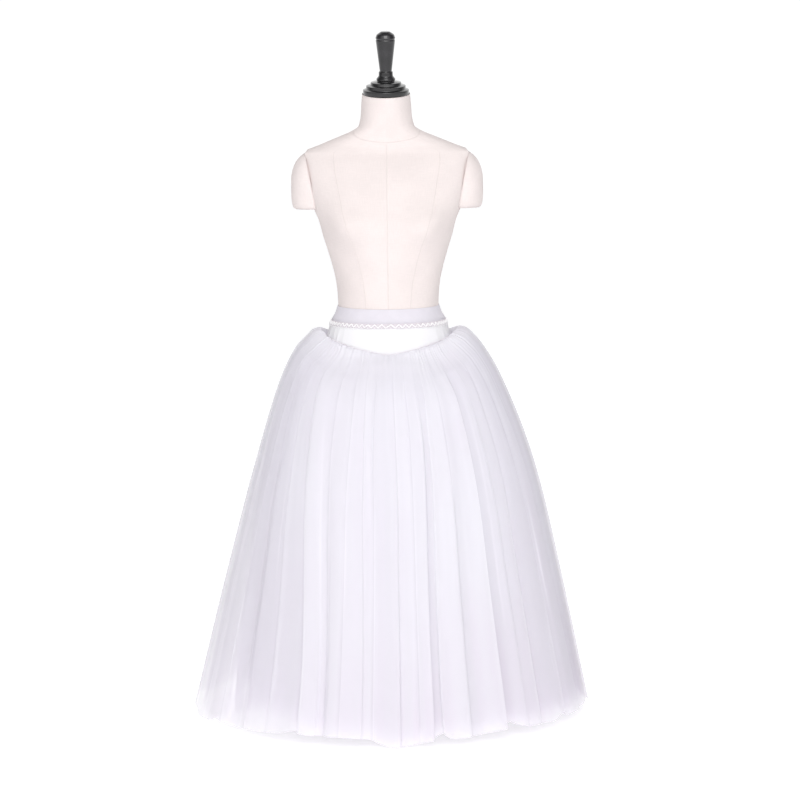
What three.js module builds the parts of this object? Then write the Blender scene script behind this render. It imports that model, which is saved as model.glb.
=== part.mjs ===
// A romantic-length tulle ballet skirt standing on a dress form.
// Millimetres. Z is up, the floor is z = 0, the front faces -Y and the viewer's right is +X.
// Every angle round the skirt is in degrees from the centre front, growing towards the viewer's right.
import * as THREE from "three";

// Sizes of the cloth walls
const TULLE_WALL = 1.8;
const YOKE_WALL = 1.5;
const BAND_WALL = 2;
const TRIM_WALL = 1.1;
const YOKE_CLEARANCE = 1;
const BAND_CLEARANCE = 0.6;
const SEAM_GAP = 0.35;

// Heights of the edges at the waist, at the side and at the centre front
const BAND_TOP = { side: 921.2, front: 919.2, back: 922 };
const BAND_BOTTOM = { side: 893.1, front: 890.5, back: 894 };
const TRIM_BOTTOM = { side: 879.6, front: 877.2, back: 880.5 };
const SEAM = { side: 856, front: 822, back: 838 };
// How fast the side height gives way to the front height along the seam and along the edges above it
const SEAM_TURN = 1.1;
const EDGE_TURN = 2;
// Levels from the upper edge to the lower edge of each piece at the waist
const BAND_LEVELS = [0, 0.5, 1];
const YOKE_LEVELS = [0, 0.4, 1];
const TRIM_LEVELS = [0, 1];

// Points round each piece: two for each gather, six or four for each fold
const GATHERS_PER_FOLD = 3;
const OUTER_STEPS = 2 * GATHERS_PER_FOLD;
const UNDER_STEPS = 4;
const YOKE_POINTS = 56;
const BODY_POINTS = 36;
const VALLEY_SHARPNESS = 3;
const TUCK_SHARPNESS = 3;
// Table rows above the hem over which its lift and drop grow
const HEM_ROWS = 2;
// Degrees to each side that the surface's direction is taken from
const NORMAL_STEP = 1;

// The crest surface of the outer tulle, from the seam over the puff at the sides and down to the hem.
// turn says how fast the side height gives way to the front height, power is the roundness of the ring.
// gather and fold are the depths of the waves there, middle and inner how far those layers lie under it,
// and tuck is how much further the innermost stays in at the viewer's left.
const TULLE_ROWS = [
  { leftR: 139.8, rightR: 139.8, sideZ: 856.5, frontR: 102.5, frontZ: 823, backR: 117.3, backZ: 839,
    turn: 1.1, power: 2.5, gather: 1.2, fold: 0, middle: 4.1, inner: 6.5, tuck: 0 },
  { leftR: 147, rightR: 149, sideZ: 868, frontR: 108.5, frontZ: 819.5, backR: 124, backZ: 838.5,
    turn: 2.1, power: 2.45, gather: 1.4, fold: 0, middle: 4.2, inner: 6.8, tuck: 0 },
  { leftR: 156, rightR: 160, sideZ: 873.5, frontR: 117, frontZ: 813, backR: 133, backZ: 834,
    turn: 3.8, power: 2.4, gather: 1.5, fold: 0.5, middle: 4.6, inner: 7.2, tuck: 0 },
  { leftR: 168.5, rightR: 173.5, sideZ: 871, frontR: 127, frontZ: 804, backR: 144, backZ: 826,
    turn: 4.4, power: 2.3, gather: 1.6, fold: 1, middle: 4.3, inner: 7.2, tuck: 0 },
  { leftR: 184, rightR: 190, sideZ: 857, frontR: 139, frontZ: 790, backR: 157, backZ: 811,
    turn: 4, power: 2.2, gather: 1.5, fold: 2, middle: 4.6, inner: 7.8, tuck: 0.5 },
  { leftR: 208, rightR: 211, sideZ: 832, frontR: 155, frontZ: 768, backR: 174, backZ: 789,
    turn: 3, power: 2.15, gather: 1.2, fold: 4, middle: 5, inner: 8.6, tuck: 1.5 },
  { leftR: 243, rightR: 250.5, sideZ: 763, frontR: 182, frontZ: 714, backR: 204, backZ: 729,
    turn: 2, power: 2.1, gather: 0.7, fold: 8, middle: 6, inner: 11, tuck: 5 },
  { leftR: 308, rightR: 326.5, sideZ: 559, frontR: 240, frontZ: 535, backR: 262, backZ: 540,
    turn: 2, power: 2.05, gather: 0.2, fold: 15, middle: 8, inner: 16, tuck: 18 },
  { leftR: 376.5, rightR: 385, sideZ: 308, frontR: 289, frontZ: 304, backR: 304, backZ: 302,
    turn: 2, power: 2, gather: 0, fold: 22, middle: 11, inner: 22, tuck: 34 },
  { leftR: 452, rightR: 446, sideZ: 16, frontR: 335, frontZ: 20, backR: 342, backZ: 18,
    turn: 2, power: 2, gather: 0, fold: 30, middle: 14, inner: 28, tuck: 46 },
];
// Rows of the table that the two layers beneath are made from
const UNDER_ROWS = [0, 2, 4, 6, 7, 9];
const MIDDLE_LIFT = 13;
const INNER_LIFT = 28;

// The large folds: where each crest stands, its share of the full depth and how far its hem hangs down
const FOLDS = [
  { angle: 2, reach: 0.9, drop: 16 },
  { angle: 12.6, reach: 0.6, drop: 3 },
  { angle: 22.5, reach: 0.8, drop: 3 },
  { angle: 32, reach: 0.7, drop: -4 },
  { angle: 43, reach: 0.95, drop: -4 },
  { angle: 55, reach: 0.75, drop: -2 },
  { angle: 66, reach: 0.9, drop: -3 },
  { angle: 78, reach: 0.8, drop: -4 },
  { angle: 90, reach: 1, drop: 5 },
  { angle: 103, reach: 0.75, drop: -2 },
  { angle: 115, reach: 0.95, drop: 4 },
  { angle: 128, reach: 0.7, drop: -1 },
  { angle: 140, reach: 0.85, drop: 3 },
  { angle: 153, reach: 1, drop: -2 },
  { angle: 166, reach: 0.7, drop: 1 },
  { angle: 179, reach: 0.95, drop: 6 },
  { angle: 192, reach: 0.8, drop: -2 },
  { angle: 204, reach: 0.65, drop: 2 },
  { angle: 217, reach: 0.9, drop: -1 },
  { angle: 230, reach: 1, drop: 5 },
  { angle: 243, reach: 0.75, drop: -3 },
  { angle: 257, reach: 0.9, drop: 1 },
  { angle: 270, reach: 1, drop: 0 },
  { angle: 285, reach: 0.85, drop: 7 },
  { angle: 300, reach: 0.95, drop: 2 },
  { angle: 317, reach: 0.8, drop: -2 },
  { angle: 332, reach: 0.7, drop: -3 },
  { angle: 347, reach: 0.85, drop: -2 },
];

// The torso: half width, reach to the front and back, and roundness, from the underside to the neck
const BODY_ROWS = [
  { z: 628, half: 150, front: 100, back: 114, power: 2.3 },
  { z: 635, half: 161, front: 108, back: 122, power: 2.3 },
  { z: 655, half: 166, front: 112, back: 126, power: 2.3 },
  { z: 700, half: 168, front: 113, back: 129, power: 2.3 },
  { z: 745, half: 164.5, front: 109, back: 127, power: 2.3 },
  { z: 785, half: 156, front: 102, back: 121, power: 2.3 },
  { z: 822, half: 144.5, front: 95.5, back: 114, power: 2.3 },
  { z: 857, half: 134.9, front: 93, back: 107.5, power: 2.3 },
  { z: 893, half: 124.3, front: 90.5, back: 99, power: 2.3 },
  { z: 908, half: 116.4, front: 89, back: 95.5, power: 2.25 },
  { z: 925, half: 111.9, front: 88, back: 92.5, power: 2.2 },
  { z: 947, half: 112.8, front: 89, back: 91, power: 2.2 },
  { z: 974, half: 115.4, front: 92.5, back: 91.5, power: 2.2 },
  { z: 1010, half: 123, front: 98, back: 94, power: 2.25 },
  { z: 1045, half: 133, front: 104, back: 97, power: 2.3 },
  { z: 1081, half: 144, front: 109, back: 99.5, power: 2.35 },
  { z: 1112, half: 152, front: 110, back: 100, power: 2.4 },
  { z: 1142, half: 164, front: 106, back: 99, power: 2.5 },
  { z: 1175, half: 174, front: 97, back: 96, power: 2.5 },
  { z: 1215, half: 182, front: 81, back: 90, power: 2.5 },
  { z: 1245, half: 188, front: 64, back: 78, power: 2.4 },
  { z: 1262, half: 190, front: 48, back: 64, power: 2.3 },
  { z: 1277, half: 155, front: 44, back: 60, power: 2.2 },
  { z: 1294, half: 114, front: 45, back: 60, power: 2.1 },
  { z: 1309, half: 78, front: 49, back: 60, power: 2 },
  { z: 1320, half: 62, front: 53, back: 57, power: 2 },
  { z: 1343, half: 56.5, front: 57, back: 50, power: 2 },
  { z: 1365, half: 55, front: 60, back: 45, power: 2 },
  { z: 1389, half: 52.9, front: 62, back: 41, power: 2 },
];
// The bust: two rounded swellings on the front of the torso
const BUST = { angle: 30, spread: 21, z: 1104, spreadZ: 42, out: 20, sideways: 0.6 };
// The flat ends of the shoulders, which lean outwards as they rise
const ARM_PLATE = { lowZ: 1142, lowX: 157, highZ: 1262, highX: 181 };

// The stub of an arm: how far it reaches sideways, half its depth and its middle, from the bottom up
const STUB_ROWS = [
  { z: 1138.5, out: 203, deep: 38, centreY: 2 },
  { z: 1142, out: 208.5, deep: 43, centreY: 2 },
  { z: 1152, out: 211.5, deep: 46, centreY: 2 },
  { z: 1170, out: 213, deep: 48, centreY: 3 },
  { z: 1205, out: 212.8, deep: 50, centreY: 5 },
  { z: 1223, out: 210, deep: 48, centreY: 6 },
  { z: 1240, out: 203.5, deep: 42, centreY: 7 },
  { z: 1253, out: 194, deep: 31, centreY: 8 },
  { z: 1261, out: 184, deep: 15, centreY: 8 },
];
const STUB_POINTS = 14;

// The neck leans forwards, and its cap with it
const NECK_LEAN_DEG = 9.6;
const NECK_LEAN_FROM_Z = 1343;
const NECK_TOP = { y: -10.5, z: 1389 };
const CAP_SEGMENTS = 22;
// The turned cap: radius and height above the neck
const CAP_PROFILE = [
  { r: 0, h: 0 },
  { r: 50, h: 0 },
  { r: 50.7, h: 2.5 },
  { r: 50.7, h: 10 },
  { r: 43.6, h: 12.3 },
  { r: 43.6, h: 19 },
  { r: 34.3, h: 20.5 },
  { r: 33.5, h: 26.5 },
  { r: 19.6, h: 28.5 },
  { r: 21.3, h: 33.5 },
  { r: 15.8, h: 40 },
  { r: 15.4, h: 49.5 },
  { r: 13.2, h: 50.5 },
  { r: 21.3, h: 118 },
  { r: 20.2, h: 120 },
  { r: 21.9, h: 123 },
  { r: 19, h: 130.5 },
  { r: 10, h: 136.5 },
  { r: 0, h: 138 },
];

// The stand under the torso: a pole on a round foot
const POLE = { r: 16, bottom: 62.3, top: 627.6, segments: 24 };
const FOOT_SEGMENTS = 32;
const FOOT_PROFILE = [
  { r: 0, h: 0 },
  { r: 187, h: 0 },
  { r: 190, h: 3 },
  { r: 190, h: 9 },
  { r: 186, h: 12 },
  { r: 32, h: 16 },
  { r: 26, h: 22 },
  { r: 26, h: 62 },
  { r: 0, h: 62 },
];

const group = new THREE.Group();
group.name = "tulle_skirt_on_form";

const materials = {
  elastic: new THREE.MeshStandardMaterial({ name: "elastic", color: 0xf0eef6 }),
  lace: new THREE.MeshStandardMaterial({ name: "lace", color: 0xfaf9fc }),
  stretch_net: new THREE.MeshStandardMaterial({ name: "stretch_net", color: 0xf3f0f6 }),
  tulle: new THREE.MeshStandardMaterial({ name: "tulle", color: 0xe9e5f0 }),
  linen: new THREE.MeshStandardMaterial({ name: "linen", color: 0xeee4e1 }),
  black_gloss: new THREE.MeshStandardMaterial({ name: "black_gloss", color: 0x242226 }),
  painted_steel: new THREE.MeshStandardMaterial({ name: "painted_steel", color: 0xe8e8ea }),
};

const radians = (degrees) => (degrees * Math.PI) / 180;
const mix = (a, b, share) => a + (b - a) * share;

// Adds a named closed mesh from its points and triangles
function addMesh(name, material, points, triangles) {
  const geometry = new THREE.BufferGeometry();
  geometry.setAttribute("position", new THREE.Float32BufferAttribute(points.flat(), 3));
  geometry.setIndex(triangles.flat());
  geometry.computeVertexNormals();
  const mesh = new THREE.Mesh(geometry, materials[material]);
  mesh.name = name;
  group.add(mesh);
  return mesh;
}

// A wall of cloth that runs right round: rows of points for its outside and its inside, from the top down
function addWall(name, material, outside, inside) {
  const rows = outside.length;
  const count = outside[0].length;
  const points = [...outside.flat(), ...inside.flat()];
  const triangles = [];
  const out = (row, i) => row * count + (i % count);
  const into = (row, i) => rows * count + out(row, i);
  for (let i = 0; i < count; i++) {
    for (let row = 0; row + 1 < rows; row++) {
      triangles.push([out(row, i), out(row + 1, i), out(row + 1, i + 1)]);
      triangles.push([out(row, i), out(row + 1, i + 1), out(row, i + 1)]);
      triangles.push([into(row, i), into(row + 1, i + 1), into(row + 1, i)]);
      triangles.push([into(row, i), into(row, i + 1), into(row + 1, i + 1)]);
    }
    triangles.push([out(0, i), out(0, i + 1), into(0, i + 1)]);
    triangles.push([out(0, i), into(0, i + 1), into(0, i)]);
    triangles.push([out(rows - 1, i), into(rows - 1, i + 1), out(rows - 1, i + 1)]);
    triangles.push([out(rows - 1, i), into(rows - 1, i), into(rows - 1, i + 1)]);
  }
  return addMesh(name, material, points, triangles);
}

// A solid through a stack of rings from the bottom up, closed with a fan at each end
function addStack(name, material, rings) {
  const count = rings[0].length;
  const points = rings.flat();
  const triangles = [];
  const at = (row, i) => row * count + (i % count);
  for (let row = 0; row + 1 < rings.length; row++) {
    for (let i = 0; i < count; i++) {
      triangles.push([at(row, i), at(row, i + 1), at(row + 1, i + 1)]);
      triangles.push([at(row, i), at(row + 1, i + 1), at(row + 1, i)]);
    }
  }
  const centre = (ring) => [0, 1, 2].map((k) => ring.reduce((sum, p) => sum + p[k], 0) / count);
  const low = points.push(centre(rings[0])) - 1;
  const high = points.push(centre(rings[rings.length - 1])) - 1;
  const last = rings.length - 1;
  for (let i = 0; i < count; i++) {
    triangles.push([low, at(0, i + 1), at(0, i)]);
    triangles.push([high, at(last, i), at(last, i + 1)]);
  }
  return addMesh(name, material, points, triangles);
}

// A turned solid, standing on its own origin
function addTurned(name, material, profile, segments) {
  const outline = profile.map((p) => new THREE.Vector2(p.r, p.h));
  const geometry = new THREE.LatheGeometry(outline, segments);
  geometry.rotateX(Math.PI / 2);
  const mesh = new THREE.Mesh(geometry, materials[material]);
  mesh.name = name;
  group.add(mesh);
  return mesh;
}

// A point of a ring that is wider than deep; power 2 is an ellipse and more is squarer
function ringPoint(angle, half, front, back, power) {
  const sin = Math.sin(radians(angle));
  const cos = Math.cos(radians(angle));
  const x = half * Math.sign(sin) * Math.abs(sin) ** (2 / power);
  const deep = Math.abs(cos) ** (2 / power);
  return [x, cos > 0 ? -front * deep : back * deep];
}

// The height of an edge that lies lower at the front and back than at the sides
function edgeHeight(angle, side, front, back, turn) {
  const sideShare = Math.abs(Math.sin(radians(angle))) ** turn;
  const middle = Math.cos(radians(angle)) > 0 ? front : back;
  return mix(middle, side, sideShare);
}

function plateX(z) {
  const share = (z - ARM_PLATE.lowZ) / (ARM_PLATE.highZ - ARM_PLATE.lowZ);
  return mix(ARM_PLATE.lowX, ARM_PLATE.highX, share);
}

// The torso's size at a height, between the rows of its table
function bodyRow(z) {
  const next = Math.min(BODY_ROWS.length - 1, Math.max(1, BODY_ROWS.findIndex((row) => row.z >= z)));
  const above = BODY_ROWS[next];
  const below = BODY_ROWS[next - 1];
  const share = (z - below.z) / (above.z - below.z);
  return {
    half: mix(below.half, above.half, share),
    front: mix(below.front, above.front, share),
    back: mix(below.back, above.back, share),
    power: mix(below.power, above.power, share),
  };
}

// A point of the torso, moved out from its surface by some distance
function bodyPoint(angle, z, out) {
  const row = bodyRow(z);
  let [x, y] = ringPoint(angle, row.half + out, row.front + out, row.back + out, row.power);
  const turned = angle > 180 ? angle - 360 : angle;
  for (const side of [-1, 1]) {
    const off = (turned - side * BUST.angle) / BUST.spread;
    const up = (z - BUST.z) / BUST.spreadZ;
    const swell = BUST.out * Math.exp(-off * off - up * up);
    x += swell * Math.sin(radians(turned)) * BUST.sideways;
    y -= swell;
  }
  if (z >= ARM_PLATE.lowZ && z <= ARM_PLATE.highZ) {
    x = Math.max(-plateX(z), Math.min(plateX(z), x));
  }
  const lean = Math.max(0, z - NECK_LEAN_FROM_Z) / (NECK_TOP.z - NECK_LEAN_FROM_Z);
  return [x, y, z + lean * (y - NECK_TOP.y) * Math.tan(radians(NECK_LEAN_DEG))];
}

// A wall that follows the torso between two edges, through levels that share the height between them
function addBodyWall(name, material, top, bottom, turn, levels, inner, wall) {
  const outside = [];
  const inside = [];
  for (const level of levels) {
    const outRow = [];
    const inRow = [];
    for (let i = 0; i < YOKE_POINTS; i++) {
      const angle = (360 * i) / YOKE_POINTS;
      const high = edgeHeight(angle, top.side, top.front, top.back, EDGE_TURN);
      const low = edgeHeight(angle, bottom.side, bottom.front, bottom.back, turn);
      const z = mix(high, low, level);
      outRow.push(bodyPoint(angle, z, inner + wall));
      inRow.push(bodyPoint(angle, z, inner));
    }
    outside.push(outRow);
    inside.push(inRow);
  }
  return addWall(name, material, outside, inside);
}

// The tulle's crest surface at an angle, for a row of the table, lifted at the hem by some amount
function tullePoint(angle, row, lift) {
  const sideR = Math.sin(radians(angle)) < 0 ? row.leftR : row.rightR;
  const [x, y] = ringPoint(angle, sideR, row.frontR, row.backR, row.power);
  const z = edgeHeight(angle, row.sideZ, row.frontZ, row.backZ, row.turn);
  return new THREE.Vector3(x, y, z + lift);
}

// The outward normal of the crest surface, from the points beside it
function tulleNormal(angle, index) {
  const above = TULLE_ROWS[Math.max(0, index - 1)];
  const below = TULLE_ROWS[Math.min(TULLE_ROWS.length - 1, index + 1)];
  const down = tullePoint(angle, below, 0).sub(tullePoint(angle, above, 0));
  const row = TULLE_ROWS[index];
  const round = tullePoint(angle + NORMAL_STEP, row, 0).sub(tullePoint(angle - NORMAL_STEP, row, 0));
  return down.cross(round).normalize();
}

// One layer of tulle: its crest surface lies under the outer one by the named column of the table
function addTulle(name, rowNumbers, steps, column, lift, leftShare) {
  const outside = [];
  const inside = [];
  const lastRow = TULLE_ROWS.length - 1;
  for (const index of rowNumbers) {
    const row = TULLE_ROWS[index];
    const outRow = [];
    const inRow = [];
    FOLDS.forEach((fold, k) => {
      const next = FOLDS[(k + 1) % FOLDS.length];
      const width = (next.angle - fold.angle + 360) % 360;
      for (let step = 0; step < steps; step++) {
        const share = step / steps;
        const angle = fold.angle + width * share;
        const reach = mix(fold.reach, next.reach, share);
        const valley = Math.sin(Math.PI * share) ** VALLEY_SHARPNESS;
        const atCrest = 1 - Math.min(reach, 1);
        const sunk = row.fold * mix(atCrest, 1, valley);
        const gathered = column ? 0 : row.gather * (step % 2 ? -1 : 1);
        const under = column ? row[column] : 0;
        const leftward = Math.max(0, -Math.sin(radians(angle))) ** TUCK_SHARPNESS;
        const tuck = leftShare * row.tuck * leftward;
        const hemShare = Math.max(0, (index - lastRow + HEM_ROWS) / HEM_ROWS);
        const drop = hemShare * mix(fold.drop, next.drop, share);
        const point = tullePoint(angle, row, hemShare * lift - drop);
        const normal = tulleNormal(angle, index);
        const outer = point.clone().addScaledVector(normal, gathered - sunk - under - tuck);
        const inner = outer.clone().addScaledVector(normal, -TULLE_WALL);
        outRow.push(outer.toArray());
        inRow.push(inner.toArray());
      }
    });
    outside.push(outRow);
    inside.push(inRow);
  }
  return addWall(name, "tulle", outside, inside);
}

// Waistband
addBodyWall("waistband", "elastic", BAND_TOP, BAND_BOTTOM, EDGE_TURN, BAND_LEVELS, BAND_CLEARANCE, BAND_WALL);

// Yoke of stretch net, from just under the waistband to the seam
const yokeTop = {
  side: BAND_BOTTOM.side - SEAM_GAP,
  front: BAND_BOTTOM.front - SEAM_GAP,
  back: BAND_BOTTOM.back - SEAM_GAP,
};
addBodyWall("yoke", "stretch_net", yokeTop, SEAM, SEAM_TURN, YOKE_LEVELS, YOKE_CLEARANCE, YOKE_WALL);

// Picot trim lying on the top of the yoke
const trimInner = YOKE_CLEARANCE + YOKE_WALL + SEAM_GAP;
addBodyWall("picot_trim", "lace", yokeTop, TRIM_BOTTOM, EDGE_TURN, TRIM_LEVELS, trimInner, TRIM_WALL);

// The three layers of tulle
const allRows = TULLE_ROWS.map((row, index) => index);
addTulle("tulle_outer", allRows, OUTER_STEPS, "", 0, 0);
addTulle("tulle_middle", UNDER_ROWS, UNDER_STEPS, "middle", MIDDLE_LIFT, 0.5);
addTulle("tulle_inner", UNDER_ROWS, UNDER_STEPS, "inner", INNER_LIFT, 1);

// Torso of the dress form
const bodyRings = BODY_ROWS.map((row) => {
  const ring = [];
  for (let i = 0; i < BODY_POINTS; i++) {
    ring.push(bodyPoint((360 * i) / BODY_POINTS, row.z, 0));
  }
  return ring;
});
addStack("form_torso", "linen", bodyRings);

// Shoulder stubs, flat against the arm plates
for (const side of [1, -1]) {
  const rings = STUB_ROWS.map((row) => {
    const flat = plateX(row.z) + SEAM_GAP;
    const ring = [];
    for (let i = 0; i < STUB_POINTS; i++) {
      const angle = (180 * i) / (STUB_POINTS - 1);
      const x = flat + (row.out - flat) * Math.sin(radians(angle));
      ring.push([side * x, row.centreY - side * row.deep * Math.cos(radians(angle)), row.z]);
    }
    return ring;
  });
  addStack(side > 0 ? "form_stub_right" : "form_stub_left", "linen", rings);
}

// Turned cap on the neck
const cap = addTurned("form_cap", "black_gloss", CAP_PROFILE, CAP_SEGMENTS);
cap.geometry.rotateX(radians(NECK_LEAN_DEG));
cap.geometry.translate(0, NECK_TOP.y, NECK_TOP.z + SEAM_GAP);

// Pole and round foot
const pole = new THREE.Mesh(
  new THREE.CylinderGeometry(POLE.r, POLE.r, POLE.top - POLE.bottom, POLE.segments),
  materials.painted_steel,
);
pole.geometry.rotateX(Math.PI / 2);
pole.geometry.translate(0, 0, (POLE.top + POLE.bottom) / 2);
pole.name = "stand_pole";
group.add(pole);
addTurned("stand_foot", "painted_steel", FOOT_PROFILE, FOOT_SEGMENTS);

export default group;
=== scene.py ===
import math

import bpy
import numpy as np
from mathutils import Matrix, Vector


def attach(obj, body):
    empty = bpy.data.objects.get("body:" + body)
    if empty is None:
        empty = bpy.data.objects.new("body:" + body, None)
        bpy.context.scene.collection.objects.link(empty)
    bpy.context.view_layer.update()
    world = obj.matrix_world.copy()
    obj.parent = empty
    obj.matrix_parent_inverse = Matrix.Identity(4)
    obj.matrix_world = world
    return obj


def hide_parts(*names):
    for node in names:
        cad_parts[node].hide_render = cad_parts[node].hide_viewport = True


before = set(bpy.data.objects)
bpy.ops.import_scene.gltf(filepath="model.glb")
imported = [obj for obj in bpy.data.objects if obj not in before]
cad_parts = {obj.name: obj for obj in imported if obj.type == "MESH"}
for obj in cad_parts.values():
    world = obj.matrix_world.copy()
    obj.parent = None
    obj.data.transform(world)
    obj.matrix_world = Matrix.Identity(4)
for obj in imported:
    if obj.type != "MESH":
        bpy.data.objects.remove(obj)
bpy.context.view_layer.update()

bl_info = {
    "name": "Tulle ballet skirt on a dress form",
    "version": (1, 0, 0),
    "blender": (4, 5, 0),
    "location": "3D View > Sidebar > Skirt",
    "description": "Builds a romantic-length tulle skirt, the dress form that wears it and a pale studio",
    "category": "Object",
}

MM = 0.001
TAU = 2 * math.pi

# Sizes in this file are in millimetres until a mesh is made, and angles are in degrees from the centre front,
# growing towards the viewer's right.

# Heights of the edges at the waist
BAND_TOP = {"side": 921.2, "front": 919.2, "back": 922}
BAND_BOTTOM = {"side": 893.1, "front": 890.5, "back": 894}
SEAM = {"side": 856, "front": 822, "back": 838}
SEAM_TURN = 1.1
SEAM_GAP = 0.35
BAND_CLEARANCE = 0.6
BAND_WALL = 2
BAND_INSIDE = 0.15
YOKE_CLEARANCE = 1
YOKE_WALL = 1.5

# The crest surface of the outer tulle, from the seam over the puff and down to the hem
TULLE_COLUMNS = ("leftR", "rightR", "sideZ", "frontR", "frontZ", "backR", "backZ",
                 "turn", "power", "gather", "fold", "middle", "inner", "tuck")
TULLE_ROWS = [
    (139.8, 139.8, 856.5, 102.5, 823, 117.3, 839, 1.1, 2.5, 1.2, 0, 4.1, 6.5, 0),
    (147, 149, 868, 108.5, 819.5, 124, 838.5, 2.1, 2.45, 1.4, 0, 4.2, 6.8, 0),
    (156, 160, 873.5, 117, 813, 133, 834, 3.8, 2.4, 1.5, 0.5, 4.6, 7.2, 0),
    (168.5, 173.5, 871, 127, 804, 144, 826, 4.4, 2.3, 1.6, 1, 4.3, 7.2, 0),
    (184, 190, 857, 139, 790, 157, 811, 4, 2.2, 1.5, 2, 4.6, 7.8, 0.5),
    (208, 211, 832, 155, 768, 174, 789, 3, 2.15, 1.2, 4, 5, 8.6, 1.5),
    (243, 250.5, 763, 182, 714, 204, 729, 2, 2.1, 0.7, 8, 6, 11, 5),
    (308, 326.5, 559, 240, 535, 262, 540, 2, 2.05, 0.2, 15, 8, 16, 18),
    (376.5, 385, 308, 289, 304, 304, 302, 2, 2, 0, 22, 11, 22, 34),
    (452, 446, 16, 335, 20, 342, 18, 2, 2, 0, 30, 14, 28, 46),
]

# The large folds: where each crest stands, its share of the full depth and how far its hem hangs down
FOLD_COLUMNS = ("angle", "reach", "drop")
FOLDS = [
    (2, 0.9, 16), (12.6, 0.6, 3), (22.5, 0.8, 3), (32, 0.7, -4), (43, 0.95, -4), (55, 0.75, -2), (66, 0.9, -3),
    (78, 0.8, -4), (90, 1, 5), (103, 0.75, -2), (115, 0.95, 4), (128, 0.7, -1), (140, 0.85, 3), (153, 1, -2),
    (166, 0.7, 1), (179, 0.95, 6), (192, 0.8, -2), (204, 0.65, 2), (217, 0.9, -1), (230, 1, 5), (243, 0.75, -3),
    (257, 0.9, 1), (270, 1, 0), (285, 0.85, 7), (300, 0.95, 2), (317, 0.8, -2), (332, 0.7, -3), (347, 0.85, -2),
]
VALLEY_SHARPNESS = 3

# Creases: the angle at the hem and near the seam, where along the length each starts and ends,
# how far the side before it stands over the side after it, how much it laps, and how dense the net is after it
CREASE_COLUMNS = ("hem", "top", "start", "end", "step", "lap", "tone")
CREASES = [
    (-87, -82, 0.16, 1.1, -5, 8, -0.5), (-71, -73, 0.2, 1, -4, 9, -0.2), (-58, -63, 0.1, 1.1, -6, 10, -0.5),
    (-49, -56, 0.3, 0.9, -3, 5, -0.3), (-38, -49, 0.1, 1.1, -6, 8, 0), (-27, -41, 0.04, 1.1, -7, 10, 0.7),
    (-19, -27, 0.25, 1.1, -4, 6, 0.9), (-14.8, -18, 0.1, 0.75, 2, 4, 0.8), (-8.6, -12, 0.08, 1.1, -4, 7, 1),
    (-5.2, -6, 0.35, 1.1, 2, 4, 0.8), (2.4, 2, 0.06, 1.1, 4, 7, 1.1), (7.4, 8, 0.3, 0.9, -2, 5, 0.8),
    (11.3, 14, 0.1, 1.1, 7, 10, 0.1), (15, 18, 0.14, 1.1, -6, 7, 1), (23, 25, 0.3, 1.1, 3, 5, 0.8),
    (33.8, 35, 0.05, 1.1, 8, 11, -0.2), (42, 43, 0.1, 1.1, 5, 8, -0.1), (48.5, 50, 0.06, 1.1, 7, 10, -0.6),
    (60, 60, 0.12, 1.1, 6, 9, -0.4), (71, 69, 0.2, 1.1, 4, 7, -0.6), (83, 80, 0.12, 0.9, 4, 6, -0.1),
    (92, 90, 0.15, 1.1, 5, 9, 0.3), (99, 98, 0.1, 0.85, -4, 7, -0.2),
    (107, 108, 0.22, 1.1, 5, 8, 0.4), (114, 113, 0.12, 1.1, 3, 5, 0.1), (123, 121, 0.06, 1.1, 6, 10, -0.3),
    (131, 133, 0.3, 1, -5, 6, 0.5), (139, 140, 0.1, 1.1, 4, 8, 0.2), (148, 146, 0.15, 1.1, 7, 10, 0.7),
    (156, 158, 0.08, 0.8, -3, 5, 0.9), (164, 163, 0.2, 1.1, 5, 8, 0.4), (172, 171, 0.1, 1.1, 4, 6, 0.9),
    (180, 180, 0.05, 1.1, -5, 9, 0.6), (188, 186, 0.25, 1, 3, 5, 1), (196, 198, 0.1, 1.1, -6, 9, 0.3),
    (205, 204, 0.14, 1.1, -4, 6, 0.7), (213, 215, 0.22, 0.85, -3, 7, -0.1), (221, 220, 0.06, 1.1, -7, 10, 0.4),
    (230, 233, 0.3, 1.1, 4, 5, -0.2), (238, 237, 0.1, 1.1, -5, 8, 0.3), (247, 248, 0.16, 0.95, -4, 6, -0.3),
    (255, 257, 0.1, 1.1, -6, 9, 0.1), (264, 266, 0.24, 1.1, -3, 6, -0.2),
]

# Where the hem rises in a notch: the angle, its spread in degrees and its height in mm
HEM_NOTCHES = [(14.7, 2.2, 15), (36.5, 2.4, 16), (58, 2.6, 14), (84, 3, 8), (-6, 2.4, 7), (-29, 3, 9), (-60, 4, 8),
               (109, 3, 12), (134, 2.5, 10), (160, 3, 13), (186, 2.5, 9), (211, 3, 12), (237, 2.6, 9), (262, 3, 11)]

# The plies of tulle, from the outside in. depth is the share of the way from the outer solid to the middle one,
# and 1 to 2 from the middle one to the inner one
PLY_COLUMNS = ("name", "node", "depth", "tuck", "lift", "left_rise", "cover", "columns", "creases", "seed")
PLIES = [
    ("tulle_ply_1", "tulle_outer", 0, 0, 0, 0, 0.46, 1400, 24, 11),
    ("tulle_ply_2", "tulle_outer", 0.5, 0.3, 3, 6, 0.5, 1300, 22, 23),
    ("tulle_ply_3", "tulle_middle", 1, 1.7, 13, 24, 0.62, 1150, 18, 37),
    ("tulle_ply_4", "tulle_inner", 1.5, 2.3, 24, 24, 0.8, 950, 14, 41),
    ("tulle_ply_5", "tulle_inner", 2, 2.5, 30, 24, 1, 800, 10, 59),
]
PLY_LEVELS = 64
# How much the left part of the hem rises: where, and its spread in degrees
LEFT_RISE = {"angle": -46, "spread": 17}
# The share of the solid folds' depth that the thin plies show between their creases
FOLD_SHARE = 0.3
# How much flatter the folds lie at the sides of the skirt
QUIET_SIDES = 0.6
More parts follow.
